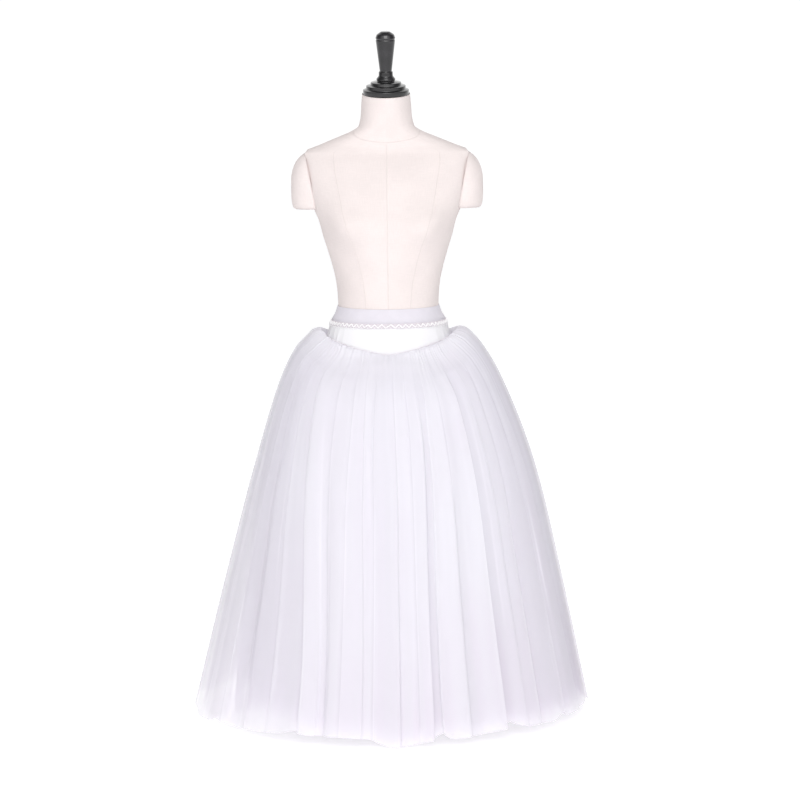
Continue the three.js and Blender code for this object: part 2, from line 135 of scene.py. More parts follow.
# The share of the cloth that is drawn in to the seam, and how far apart the plies lie there
SEAM_REACH = 0.013
SEAM_PLY_STEP = 0.7
# How wide in mm the edge of a crease without a lap is, and how much crisper each mm of lap makes it
CREASE_WIDTH = {"soft": 8.5, "crisper": 0.45}
# How much of a crease's step shows, and how far a facet sags between its creases
FACET = {"step": 0.42, "sag": 0.55}
# The share of the whole that a crease shows at the seam, and over what length it starts and ends
CREASE_AT_SEAM = 0.35
CREASE_FADE = 0.15

# Soft upright puckers of the yoke: angle, spread, height in mm and how far each leans as it goes down
YOKE_PUCKERS = [(-81, 2.2, 1.1, 3), (-70, 1.8, 1.5, 2), (-61, 2.4, 1.2, -1), (-52, 1.7, 1.3, 1), (-44, 1.5, 0.7, 0),
                (49, 2, 0.6, 0), (60, 2.2, 0.9, -2), (71, 1.8, 0.8, 1), (82, 2.4, 0.9, 2), (104, 2.1, 0.9, -1),
                (121, 2.6, 0.5, 1), (147, 2, 0.4, 2), (199, 2.3, 0.5, -2), (226, 1.9, 0.6, 1), (249, 2.5, 0.9, 2)]

# The zigzag stitches: points, heights of the rows over the band's lower edge, swing and the thread's radius in mm
STITCHES = {"points": 1200, "rises": (2.2, 5.4), "swing": 0.8, "r": 0.14}
# The trim in mm: the middle and swing of its chain, its scallops' place and depth, how far the strands stand out
# and cross, and each one's thickness as a share of the thread's
PICOT = {"chain": 5.6, "swing": 3.3, "scallop": 9.8, "dip": 2.9, "proud": 1.2, "cross": 0.6, "slant": 0.95,
         "bold": 1.35, "fine": 0.32, "edge": 0.7}
# How many metres of cloth the texture counts round each kind of piece
CLOTH_ROUND = {"torso": 0.75, "waist": 0.7, "stub": 0.13}

# The torso: half width, reach to the front and back, and roundness, from the underside to the neck
BODY_COLUMNS = ("z", "half", "front", "back", "power")
BODY_ROWS = [
    (628, 150, 100, 114, 2.3), (635, 161, 108, 122, 2.3), (655, 166, 112, 126, 2.3), (700, 168, 113, 129, 2.3),
    (745, 164.5, 109, 127, 2.3), (785, 156, 102, 121, 2.3), (822, 144.5, 95.5, 114, 2.3),
    (857, 134.9, 93, 107.5, 2.3), (893, 124.3, 90.5, 99, 2.3), (908, 116.4, 89, 95.5, 2.25),
    (925, 111.9, 88, 92.5, 2.2), (947, 112.8, 89, 91, 2.2), (974, 115.4, 92.5, 91.5, 2.2),
    (1010, 123, 98, 94, 2.25), (1045, 133, 104, 97, 2.3), (1081, 144, 109, 99.5, 2.35), (1112, 152, 110, 100, 2.4),
    (1142, 164, 106, 99, 2.5), (1175, 174, 97, 96, 2.5), (1215, 182, 80, 90, 2.5), (1245, 188, 63, 77.5, 2.4),
    (1262, 190, 51.5, 66, 2.3), (1277, 155, 46.5, 61.5, 2.2), (1294, 114, 46, 60, 2.1), (1309, 78, 49, 60, 2),
    (1320, 62, 53, 57, 2), (1343, 56.5, 57, 50, 2), (1365, 55, 60, 45, 2), (1389, 52.9, 62, 41, 2),
]
BUST = {"angle": 30, "spread": 21, "z": 1104, "spreadZ": 42, "out": 20, "sideways": 0.6}
ARM_PLATE = {"lowZ": 1142, "lowX": 157, "highZ": 1262, "highX": 181}
NECK_LEAN_DEG = 9.6
NECK_LEAN_FROM_Z = 1343
NECK_TOP = {"y": -10.5, "z": 1389}

# The stub of an arm: how far it reaches sideways, half its depth and its middle, from the bottom up
STUB_COLUMNS = ("z", "out", "deep", "centreY")
STUB_ROWS = [
    (1138.5, 203, 38, 2), (1142, 208.5, 43, 2), (1152, 211.5, 46, 2), (1170, 213, 48, 3), (1205, 212.8, 50, 5),
    (1223, 210, 48, 6), (1240, 203.5, 42, 7), (1253, 194, 31, 8), (1261, 184, 15, 8),
]

# The form's upright seams: where each starts on an even ring, and its angle from the hip up to the shoulder
SEAM_STARTS = [0, 30, 90, 150, 180, 210, 270, 330, 360]
PRINCESS_HEIGHTS = [700, 925, 1104, 1257]
PRINCESS_FRONT = [26, 24, 30, 34.6]
PRINCESS_BACK = [27, 25, 29, 32]
NECK_SEAM = {"side": 1311, "front": 1284, "back": 1303, "level": 1298}
NECK_SEAM_TURN = 1.5
SHOULDER_Z = 1262

# Turned pieces: radius and height
CAP_PROFILE = [
    (0, 0), (50, 0), (50.7, 2.5), (50.7, 10), (43.6, 12.3), (43.6, 19), (34.3, 20.5), (33.5, 26.5), (19.6, 28.5),
    (21.3, 33.5), (15.8, 40), (15.4, 49.5), (13.2, 50.5), (21.3, 118), (20.2, 120), (21.9, 123), (19, 130.5),
    (10, 136.5), (0, 138),
]
FOOT_PROFILE = [(0, 0), (187, 0), (190, 3), (190, 9), (186, 12), (32, 16), (26, 22), (26, 62), (0, 62)]
POLE = {"r": 16, "bottom": 62.3, "top": 627.6}
CORNER = {"cut": 1.2, "steps": 3}

# Brightness of the studio's light by direction, from straight ahead of the skirt to straight behind it
WORLD_GLOW = [(0, 1.55), (0.12, 1.32), (0.32, 0.25), (0.62, 0.22), (0.86, 1.08), (1, 1.08)]
# Brightness of the backdrop that is seen behind the skirt
BACKDROP = 1.05
FLOOR = {"half": 30, "z": -0.0005, "glow": 0.62}
LAMP = {"size": 3, "place": (0.25, -3.9, 4.1), "aim": (0, 0, 0.8)}
# The camera that matches the photograph
CAMERA = {"x": 23.7, "y": -4700, "z": 1385, "down": 8.2, "roll": 0.6, "focal_px": 2110.47, "picture": 800,
          "sensor": 36}


def table(columns, rows):
    """Each named column of a table as an array."""
    return {name: np.array([row[i] for row in rows]) for i, name in enumerate(columns)}


def smooth_column(at, places, values):
    """A curve through a table's values that never overshoots them."""
    gaps = np.diff(places)
    slopes = np.diff(values) / gaps
    tangents = np.zeros(len(values))
    tangents[0], tangents[-1] = slopes[0], slopes[-1]
    product = slopes[:-1] * slopes[1:]
    total = np.where(np.abs(slopes[:-1] + slopes[1:]) < 1e-12, 1, slopes[:-1] + slopes[1:])
    tangents[1:-1] = np.where(product > 0, 2 * product / total, 0)
    k = np.clip(np.searchsorted(places, at, side="right") - 1, 0, len(gaps) - 1)
    t = np.clip((at - places[k]) / gaps[k], 0, 1)
    rise = tangents[k] * gaps[k]
    fall = tangents[k + 1] * gaps[k]
    return ((2 * t**3 - 3 * t**2 + 1) * values[k] + (t**3 - 2 * t**2 + t) * rise
            + (3 * t**2 - 2 * t**3) * values[k + 1] + (t**3 - t**2) * fall)


def mix(a, b, share):
    """From a at a share of 0 to b at 1."""
    return a + (b - a) * share


def ease(low, high, value):
    """0 below low, 1 above high, and a smooth step between."""
    t = np.clip((value - low) / (high - low), 0, 1)
    return t * t * (3 - 2 * t)


def bell(offset):
    return np.exp(-offset * offset)


def ring_xy(angle, half, front, back, power):
    """A point of a ring that is wider than deep; power 2 is an ellipse and more is squarer."""
    sin, cos = np.sin(np.radians(angle)), np.cos(np.radians(angle))
    x = half * np.sign(sin) * np.abs(sin) ** (2 / power)
    deep = np.abs(cos) ** (2 / power)
    return x, np.where(cos > 0, -front * deep, back * deep)


def edge_height(angle, side, front, back, turn):
    """The height of an edge that lies lower at the front and back than at the sides."""
    share = np.abs(np.sin(np.radians(angle))) ** turn
    return mix(np.where(np.cos(np.radians(angle)) > 0, front, back), side, share)


def ring_height(angle, heights, turn=2):
    """The height of a named edge all round."""
    return edge_height(angle, heights["side"], heights["front"], heights["back"], turn)


def periodic_noise(at, seed, cells):
    """Smooth random values from -1 to 1 round a circle, with one value for each cell."""
    values = np.random.default_rng(seed).uniform(-1, 1, cells)
    place = (at % 360) / 360 * cells
    k = np.floor(place).astype(int)
    t = ease(0, 1, place - k)
    return mix(values[k % cells], values[(k + 1) % cells], t)


def grid_faces(rows, columns, wrap=False, first=0):
    """Quads between rows of points that run round a ring; with wrap the last row joins the first one too."""
    faces = []
    for row in range(rows if wrap else rows - 1):
        here, below = first + row * columns, first + (row + 1) % rows * columns
        for i in range(columns):
            j = (i + 1) % columns
            faces.append((here + i, below + i, below + j, here + j))
    return faces


def lidded_faces(rows, columns, outward):
    """Faces of an upright wall, from the bottom up, and of a lid at each end that faces outward or inward."""
    faces = [face[::-1] for face in grid_faces(rows, columns)]
    low, high = tuple(range(columns)), tuple(range((rows - 1) * columns, rows * columns))
    return faces + ([low[::-1], high] if outward else [low, high[::-1]])


def add_mesh(name, points, faces, material):
    """A named smooth mesh from points in millimetres."""
    mesh = bpy.data.meshes.new(name)
    mesh.from_pydata((np.asarray(points).reshape(-1, 3) * MM).tolist(), [], faces)
    mesh.polygons.foreach_set("use_smooth", [True] * len(mesh.polygons))
    mesh.materials.append(material)
    mesh.update()
    piece = bpy.data.objects.new(name, mesh)
    bpy.context.scene.collection.objects.link(piece)
    return piece


def add_uv(piece, across, along):
    """Texture coordinates in metres of cloth, given for each vertex."""
    layer = piece.data.uv_layers.new(name="cloth")
    loops = np.empty(len(piece.data.loops), dtype=int)
    piece.data.loops.foreach_get("vertex_index", loops)
    pairs = np.stack([np.ravel(across)[loops], np.ravel(along)[loops]], axis=1)
    layer.data.foreach_set("uv", pairs.ravel())


def add_share(piece, name, values):
    """A number at each vertex that a material reads."""
    attribute = piece.data.attributes.new(name, "FLOAT", "POINT")
    attribute.data.foreach_set("value", np.ravel(values).astype(np.float32))


def settle(piece, slot, *nodes):
    """The piece rides on the one body and stands for its nodes, which are hidden; slot is not used."""
    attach(piece, "root")
    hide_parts(*nodes)


# Materials


def sum_of(operation, reflected=False):
    """The method for one of Python's operators and its Math node."""
    def method(self, other):
        return self.maths(operation, other, self) if reflected else self.maths(operation, self, other)
    return method


class Value:
    """A node's output that takes part in Python sums; each sum adds its Math node."""

    def __init__(self, finish, socket):
        self.finish = finish
        self.socket = socket

    def maths(self, operation, *values):
        return self.finish.node("ShaderNodeMath", {"operation": operation}, list(values))

    __add__, __radd__ = sum_of("ADD"), sum_of("ADD", reflected=True)
    __sub__, __rsub__ = sum_of("SUBTRACT"), sum_of("SUBTRACT", reflected=True)
    __mul__, __rmul__ = sum_of("MULTIPLY"), sum_of("MULTIPLY", reflected=True)

    def between(self, low, high):
        """0 below low, 1 above high and a smooth step between."""
        settings = {"interpolation_type": "SMOOTHSTEP"}
        return self.finish.node("ShaderNodeMapRange", settings, {"Value": self, "From Min": low, "From Max": high})


class Nodes:
    """A tree of nodes."""

    def __init__(self, tree):
        self.tree = tree

    def node(self, kind, settings, values, output=0):
        """Adds a node: its settings first, then the values or links of its sockets, by name or in order."""
        node = self.tree.nodes.new(kind)
        for name, setting in settings.items():
            if name == "stops":
                ramp = node.color_ramp.elements
                while len(ramp) < len(setting):
                    ramp.new(0.5)
                for element, (place, shade) in zip(ramp, setting):
                    element.position = place
                    element.color = shade
            else:
                setattr(node, name, setting)
        pairs = values.items() if isinstance(values, dict) else enumerate(values)
        for place, value in pairs:
            self.set_socket(node.inputs[place], value)
        return Value(self, node.outputs[output])

    def set_socket(self, socket, value):
        if isinstance(value, Value):
            self.tree.links.new(value.socket, socket)
        elif value is not None:
            socket.default_value = value

    def place(self, output):
        return self.node("ShaderNodeTexCoord", {}, {}, output)

    def parts(self, vector):
        """The three numbers of a vector."""
        split = self.node("ShaderNodeSeparateXYZ", {}, [vector])
        return [Value(self, split.socket.node.outputs[i]) for i in range(3)]

    def scaled(self, vector, factors):
        return self.node("ShaderNodeVectorMath", {"operation": "MULTIPLY"}, [vector, factors])

    def noise(self, vector, scale, detail=2, roughness=0.5):
        return self.node("ShaderNodeTexNoise", {}, {
            "Vector": vector, "Scale": scale, "Detail": detail, "Roughness": roughness,
        })

    def colours(self, share, first, second):
        """One colour to another by a share from 0 to 1."""
        return self.node("ShaderNodeMix", {"data_type": "RGBA"}, {0: share, 6: first, 7: second}, 2)

    def bump(self, height, distance, strength=1):
        return self.node("ShaderNodeBump", {}, {"Height": height, "Distance": distance, "Strength": strength})


class Finish(Nodes):
    """A material and its shader."""

    def __init__(self, name):
        self.material = bpy.data.materials.new(name)
        self.material.use_nodes = True
        super().__init__(self.material.node_tree)
        self.shader = self.tree.nodes["Principled BSDF"]

    def set(self, **values):
        """Sets the shader's own sockets; a name's underscores stand for spaces."""
        for name, value in values.items():
            self.set_socket(self.shader.inputs[name.replace("_", " ")], value)


def colour(red, green, blue):
    """A colour given in the usual 0 to 255, as the linear one that shaders take."""
    def linear(value):
        share = value / 255
        return share / 12.92 if share <= 0.04045 else ((share + 0.055) / 1.055) ** 2.4
    return (linear(red), linear(green), linear(blue), 1)


def wave(value, period):
    """A sine of a length, from 0 to 1."""
    return value.maths("SINE", value * (TAU / period)) * 0.5 + 0.5


def shaded(shade, share):
    """A colour made a little darker."""
    return tuple(part * share for part in tuple(shade)[:3]) + (1,)


def tulle_finish(name, cover, shade, hem_painted_shade):
    """Soft net, denser where the ply is creased; towards the hem its colour turns to painted shade and light of the
    thin hem.
    """
    finish = Finish(name)
    cloth = finish.place(2)
    density = finish.node("ShaderNodeAttribute", {"attribute_name": "net_cover"}, {}, 2)
    across, along, _ = finish.parts(cloth)
    streaks = finish.noise(finish.scaled(cloth, (60, 1.5, 0)), 1, 1)
    clouds = finish.noise(finish.scaled(cloth, (5, 3, 0)), 1, 2)
    weave = wave(across + along * 0.6, 0.0013) * wave(across - along * 0.6, 0.0013)
    # Painted shade and light: along the cloth, and in random clouds, the colour turns towards the hem colour, for the
    # look of the thin hem over the floor
    tone = finish.colours(along.between(0.45, 1) * 0.5 + clouds.between(0.35, 0.75) * 0.3, shade, hem_painted_shade)
    tone = finish.colours(streaks.between(0.35, 0.65) * 0.5, tone, shaded(shade, 0.96))
    alpha = density * cover if cover < 1 else None
    finish.set(Base_Color=tone, Roughness=0.9, Alpha=alpha, Specular_IOR_Level=0,
               Normal=finish.bump(weave, 0.0001, 0.4))
    return finish.material


def linen_finish(shade):
    """Plain woven cover of the dress form, with painted shade darkening it along its seams."""
    finish = Finish("linen_cover")
    cloth = finish.place(2)
    seam = finish.node("ShaderNodeAttribute", {"attribute_name": "seam_line"}, {}, 2)
    across, along, _ = finish.parts(cloth)
    warp = wave(across, 0.0011)
    weft = wave(along, 0.0011)
    weave = warp * weft + (1 - warp) * (1 - weft)
    slubs = finish.noise(finish.scaled(cloth, (900, 60, 0)), 1, 2) * 0.5 + finish.noise(
        finish.scaled(cloth, (60, 900, 0)), 1, 2) * 0.5
    cloudy = finish.noise(cloth, 14, 3)
    tone = finish.colours((slubs * 0.6 + cloudy * 0.4).between(0.36, 0.64), shade, shaded(shade, 0.93))
    # Painted shade: the linen is darker along the seams' grooves
    tone = finish.colours(seam * 0.5, tone, shaded(shade, 0.8))
    finish.set(Base_Color=tone, Roughness=0.9, Specular_IOR_Level=0.25, Sheen_Weight=0.1,
               Normal=finish.bump(weave * 0.6 + slubs * 0.8, 0.00025, 0.5))
    return finish.material


def elastic_finish(shade):
    """Knitted elastic: fine ribs round the waist crossed by upright wales."""
    finish = Finish("soft_elastic")
    cloth = finish.place(2)
    across, along, _ = finish.parts(cloth)
    ribs = wave(along, 0.0018)
    wales = wave(across, 0.0012)
    cloudy = finish.noise(cloth, 55, 3)
    tone = finish.colours(cloudy.between(0.3, 0.7) * 0.6 + wales * ribs * 0.4, shade, shaded(shade, 0.95))
    finish.set(Base_Color=tone, Roughness=0.7, Sheen_Weight=0.15, Specular_IOR_Level=0.25,
               Normal=finish.bump(ribs * 0.7 + wales * 0.3, 0.0002, 0.6))
    return finish.material


def net_finish(name, shade):
    """Fine stretch net."""
    finish = Finish(name)
    cloth = finish.place(2)
    across, along, _ = finish.parts(cloth)
    net = wave(across + along * 0.5, 0.0009) * wave(across - along * 0.5, 0.0009)
    cloudy = finish.noise(finish.scaled(cloth, (40, 12, 0)), 1, 3)
    tone = finish.colours(cloudy.between(0.3, 0.7) * 0.6 + net * 0.4, shade, shaded(shade, 0.95))
    finish.set(Base_Color=tone, Roughness=0.75, Sheen_Weight=0.2, Specular_IOR_Level=0.25,
               Normal=finish.bump(net, 0.0001, 0.5))
    return finish.material


def thread_finish(name, shade):
    """Twisted thread."""
    finish = Finish(name)
    spot = finish.place(3)
    twist = finish.node("ShaderNodeTexWave", {"wave_type": "BANDS", "bands_direction": "DIAGONAL"}, {
        "Vector": spot, "Scale": 500, "Distortion": 2,
    }, 1)
    tone = finish.colours(finish.noise(spot, 120) * 0.6 + twist * 0.4, shade, shaded(shade, 0.92))
    finish.set(Base_Color=tone, Roughness=0.6, Sheen_Weight=0.3, Normal=finish.bump(twist, 0.0002, 0.5))
    return finish.material


def gloss_finish(shade):
    """Black lacquer over turned wood."""
    finish = Finish("black_lacquer")
    spot = finish.place(3)
    wear = finish.noise(spot, 55, 5)
    rings = finish.noise(finish.scaled(spot, (20, 20, 900)), 1, 2)
    tone = finish.colours(wear.between(0.4, 0.75), shade, colour(34, 32, 36))
    finish.set(Base_Color=tone, Roughness=wear.between(0.3, 0.8) * 0.16 + 0.14, Coat_Weight=0.5,
               Coat_Roughness=0.08, Normal=finish.bump(rings * 0.5 + wear * 0.5, 0.0002, 0.25))
    return finish.material


def steel_finish(shade):
    """White paint on steel, with a light orange-peel."""
    finish = Finish("painted_steel")
    spot = finish.place(3)
    peel = finish.noise(spot, 420, 2)
    wear = finish.noise(spot, 18, 5)
    tone = finish.colours(wear.between(0.4, 0.8), shade, shaded(shade, 0.82))
    finish.set(Base_Color=tone, Roughness=wear.between(0.3, 0.8) * 0.2 + 0.3,
               Normal=finish.bump(peel, 0.0002, 0.2))
    return finish.material


# The tulle

TULLE = table(TULLE_COLUMNS, TULLE_ROWS)
FOLD = table(FOLD_COLUMNS, FOLDS)
CREASE = table(CREASE_COLUMNS, sorted(CREASES, key=lambda row: row[0] % 360))
ROW_PLACES = np.concatenate([[0], np.cumsum(np.hypot(np.diff(TULLE["rightR"]), np.diff(TULLE["sideZ"])))])
CLOTH_LENGTH = ROW_PLACES[-1]
ROW_PLACES = ROW_PLACES / CLOTH_LENGTH


def tulle_column(name, v):
    return smooth_column(v, ROW_PLACES, TULLE[name])


def crest_point(angle, v):
    """The outer tulle's crest surface, as an array of points."""
    rows = {name: tulle_column(name, v) for name in TULLE_COLUMNS[:9]}
    side = np.where(np.sin(np.radians(angle)) < 0, rows["leftR"], rows["rightR"])
    x, y = ring_xy(angle, side, rows["frontR"], rows["backR"], rows["power"])
    z = edge_height(angle, rows["sideZ"], rows["frontZ"], rows["backZ"], rows["turn"])
    return np.stack([x, y, z], axis=-1)


def unit(vectors):
    return vectors / np.maximum(np.linalg.norm(vectors, axis=-1, keepdims=True), 1e-9)


def ply_levels(count):
    """Places along the cloth's length, close together over the puff and wider apart below."""
    t = np.linspace(0, 1, count)
    return 0.28 * t + 0.72 * t**2.6


def apart(angle, place):
    """How far an angle is from a place on the ring, from -180 to 180 degrees."""
    return (angle - place + 180) % 360 - 180


def ply_columns(count, shared, own):
    """Places round the ring, in degrees, closer together at the creases."""
    fine = np.linspace(0, 360, 14401)
    crowd = np.ones_like(fine)
    for places, weight in ((shared, 4), (own, 2)):
        for place in places:
            crowd += weight * bell(apart(fine, place) / 0.8)
    total = np.concatenate([[0], np.cumsum((crowd[1:] + crowd[:-1]) / 2)])
    return np.interp(np.linspace(0, total[-1], count, endpoint=False), total, fine)


def drifted(u, v, seed):
    """The angle at which a column of cloth stands: the creases drift as they rise."""
    hem = CREASE["hem"] % 360
    drift = CREASE["top"] - CREASE["hem"]
    hems = np.concatenate([hem[-3:] - 360, hem, hem[:3] + 360])
    drifts = np.concatenate([drift[-3:], drift, drift[:3]])
    swing = np.interp(u % 360, hems, drifts)
    sway = 0.25 * periodic_noise(u, seed, 40) * np.sin(math.pi * np.clip(v, 0, 1))
    return u + swing * (1 - ease(0.05, 0.95, v)) + sway


def main_folds(u, v):
    """How far the cloth sinks between the crests of the large folds, and how low its hem hangs."""
    angles = np.concatenate([FOLD["angle"], [FOLD["angle"][0] + 360]])
    place = (u - angles[0]) % 360 + angles[0]
    k = np.clip(np.searchsorted(angles, place, side="right") - 1, 0, len(FOLDS) - 1)
    share = (place - angles[k]) / (angles[k + 1] - angles[k])
    after = (k + 1) % len(FOLDS)
    reach = mix(FOLD["reach"][k], FOLD["reach"][after], ease(0, 1, share))
    valley = np.sin(math.pi * share) ** VALLEY_SHARPNESS
    sunk = tulle_column("fold", v) * mix(1 - np.minimum(reach, 1), 1, valley)
    drop = mix(FOLD["drop"][k], FOLD["drop"][after], ease(0, 1, share))
    return sunk, drop


def own_laps(seed, count):
    """Fine laps that one ply has for itself: place, start, end and lap, uneven in all of them."""
    draw = np.random.default_rng(seed)
    hem = (np.arange(count) + draw.uniform(0.1, 0.9, count)) * 360 / count
    start = draw.uniform(0.02, 0.5, count)
    end = start + draw.uniform(0.3, 1.1, count)
    lap = draw.uniform(4, 8, count) * draw.choice([-1, 1], count)
    return np.stack([hem, start, end, lap], axis=1)


def crease_life(v, start, end):
    """How strong a crease is along the cloth, from 0 to 1."""
    return ease(start, start + CREASE_FADE, v) * (1 - ease(end - CREASE_FADE, end, v)) * mix(CREASE_AT_SEAM, 1, v)


def crease_width(lap):
    """How wide in mm a crease's edge is: the deep ones are crisp and the shallow ones soft."""
    return CREASE_WIDTH["soft"] - CREASE_WIDTH["crisper"] * abs(lap)


def facet_shape(u, v, radius):
    """What the listed creases do to all the plies: flat facets that step down from one to the next."""
    out, tone = np.zeros_like(u), np.zeros_like(u)
    hems = CREASE["hem"]
    before = (hems - np.roll(hems, 1)) % 360
    after = np.roll(before, -1)
    for k, place in enumerate(hems):
        turn = apart(u, place)
        width = np.where(turn < 0, before[k], after[k])
        fade = np.clip(1 - np.abs(turn) / width, 0, 1)
        life = crease_life(v, CREASE["start"][k], CREASE["end"][k])
        edge = np.tanh(np.radians(turn) * radius / crease_width(CREASE["lap"][k]))
        out -= life * CREASE["step"][k] * FACET["step"] * edge * fade
        sag = np.radians(width) ** 2 * radius / 8
        out += FACET["sag"] * sag * fade * fade
        tone += np.where(turn < 0, 0, CREASE["tone"][k] * np.clip(after[k] - turn, 0, 1))
    return out, tone


def lap_shape(u, v, radius, laps, room):
    """Cloth lapped over itself within its room: how far it moves out and along the ring, and its cover."""
    out, along, cover = (np.zeros_like(u) for _ in range(3))
    for place, start, end, over in laps:
        near = np.abs(apart(u[0], place)) < 30
        off = np.radians(apart(u[:, near], place)) * radius[:, near]
        life = crease_life(v[:, near], start, end)
        edge = np.tanh(off / crease_width(over))
        window = bell(off / (8 + 2 * abs(over)))
        out[:, near] -= life * 0.4 * room[:, near] * np.sign(over) * edge * window
        along[:, near] -= life * abs(over) * edge * window
        cover[:, near] += 0.7 * life * bell(off / 3)
    return out, along, cover


def cloth_surface(angle, v):
    """The crest surface's points, its direction round the ring and its outward normal."""
    across = unit(crest_point(angle + 0.5, v) - crest_point(angle - 0.5, v))
    low, high = np.maximum(v - 0.004, 0), np.minimum(v + 0.004, 1)
    down = unit(crest_point(angle, high) - crest_point(angle, low))
    return crest_point(angle, v), across, unit(np.cross(down, across))


def gather_shape(u, v, gathers):
    """The puckers that start at the seam, which all plies share."""
    first = np.sin(TAU * (gathers * u / 360 + 0.6 * periodic_noise(u, 3, 47)))
    second = np.sin(TAU * (round(gathers * 0.6) * u / 360 + 0.5 * periodic_noise(u, 4, 31)))
    strong = 0.7 + 0.7 * periodic_noise(u, 6, 67)
    length = 0.05 + 0.035 * periodic_noise(u, 7, 97)
    return strong * (0.55 * first * bell(v / 0.035) + 0.6 * second * np.exp(-v / length))


def hem_rise(ply, u, v, drop):
    """How far the cloth's lower part rises for the notches, the ragged edge and the ply's own lift."""
    notch = np.zeros_like(u)
    for place, spread, rise in HEM_NOTCHES:
        notch += rise * bell(apart(u, place) / spread)
    ragged = 2.5 * periodic_noise(u, ply["seed"] + 7, 60) + 1.2 * periodic_noise(u, ply["seed"] + 8, 170)
    left = ply["left_rise"] * bell(apart(u, LEFT_RISE["angle"]) / LEFT_RISE["spread"])
    notch_share = 1 if ply["depth"] < 1 else 0.5
    return ease(0.6, 1, v) * (notch * notch_share + ragged - drop + left) + ply["lift"] * ease(0.4, 1, v)


def ply_point_grid(ply, gathers):
    """Points of one ply, the width of its cloth in metres, its places on the cloth and the cover of its net."""
    seed, depth = ply["seed"], ply["depth"]
    shared = np.stack([CREASE["hem"], CREASE["start"], CREASE["end"], CREASE["lap"] * np.sign(CREASE["step"])], 1)
    own = own_laps(seed, ply["creases"])
    columns = ply_columns(ply["columns"], shared[:, 0], own[:, 0])
    u, v = np.meshgrid(columns, ply_levels(PLY_LEVELS))
    angle = drifted(u, v, 5)
    crest, across, normal = cloth_surface(angle, v)
    radius = np.hypot(crest[..., 0], crest[..., 1])
    sideways = np.sin(np.radians(angle))

    # Where the ply lies under the outermost one, and how much room it has before the next
    middle, inner = tulle_column("middle", v), tulle_column("inner", v)
    under = middle * min(depth, 1) + (inner - middle) * max(depth - 1, 0)
    under = under + ply["tuck"] * tulle_column("tuck", v) * v * np.maximum(0, -sideways) ** 3
    room = 0.5 * np.minimum(middle, inner - middle)
    quiet = 1 - QUIET_SIDES * np.abs(sideways) ** 3

    # What all plies share: the large folds, a slow wave and the facets between the listed creases
    sunk, drop = main_folds(u, v)
    out, tone = facet_shape(u, v, radius)
    out = quiet * (out - sunk * FOLD_SHARE) + 2.5 * periodic_noise(u + 3 * v, 12, 23) * ease(0.1, 1, v)

    # What this ply has for itself, within its room
    laps = np.concatenate([shared, own]) if depth < 1 else own
    own_out, lap, cover = lap_shape(u, v, radius, laps, room)
    wave_height = np.minimum(0.3 * room, 1)
    out += quiet * own_out + wave_height * periodic_noise(u + 4 * v, seed + 4, 61) * ease(0.05, 0.8, v)
    cover += 0.3 * periodic_noise(u + 2 * np.sin(5 * v), seed + 9, 26) + tone * ease(0.02, 0.2, v)
    pucker = gather_shape(u, v, gathers)
    cover += 0.35 * pucker

    points = crest + normal * (out + pucker - under)[..., None] + across * (lap * quiet)[..., None]
    width = ring_length(points[-1])
    points[..., 2] += hem_rise(ply, u, v, drop)

    # The first centimetre is drawn in to the seam with the other plies
    spread = SEAM_PLY_STEP * (2 - depth)
    seam = body_point(angle[0], seam_height(angle[0]), YOKE_CLEARANCE + YOKE_WALL + spread + 0.4 * pucker[0])
    drawn = 1 - ease(0, SEAM_REACH, v)
    points = mix(points, seam[None, ...], drawn[..., None])
    return points, width, u, v, np.clip(1 + 0.22 * cover + 0.35 * bell(v / 0.06), 0.55, 1.9)


def seam_height(angle):
    """The height of the seam between the yoke and the tulle."""
    return ring_height(angle, SEAM, SEAM_TURN)


def sheet_area(points):
    """The area of a ring of points, in square metres."""
    right = np.roll(points, -1, axis=1)
    a = right[:-1] - points[:-1]
    b = points[1:] - points[:-1]
    return float(np.linalg.norm(np.cross(a, b), axis=-1).sum()) * MM * MM


def ring_length(points):
    """The run along a closed row of points, in metres."""
    return float(np.linalg.norm(np.roll(points, -1, axis=0) - points, axis=-1).sum()) * MM


def add_ply(row, sizes):
    ply = dict(zip(PLY_COLUMNS, row))
    points, width, u, v, density = ply_point_grid(ply, sizes.gathers)
    # The plies under the outer two take a darker copy of the same tulle's colour: painted shade
    shade = sizes.tulle_colour if ply["depth"] < 1 else sizes.shaded_inner_colour
    # The hem colour is painted shade and light of the thin hem, not a dye of the net
    material = tulle_finish(ply["name"] + "_net", min(1, ply["cover"] * sizes.net_cover), shade, sizes.painted_hem_shade_colour)
    piece = add_mesh(ply["name"], points, grid_faces(*u.shape), material)
    add_uv(piece, u / 360 * width, v * CLOTH_LENGTH * MM)
    add_share(piece, "net_cover", density)
    settle(piece, "tulle", ply["node"])


# The torso

BODY = table(BODY_COLUMNS, BODY_ROWS)


def plate_x(z):
    """How far out the flat plate of an arm stands at a height."""
    share = (z - ARM_PLATE["lowZ"]) / (ARM_PLATE["highZ"] - ARM_PLATE["lowZ"])
    return mix(ARM_PLATE["lowX"], ARM_PLATE["highX"], share)


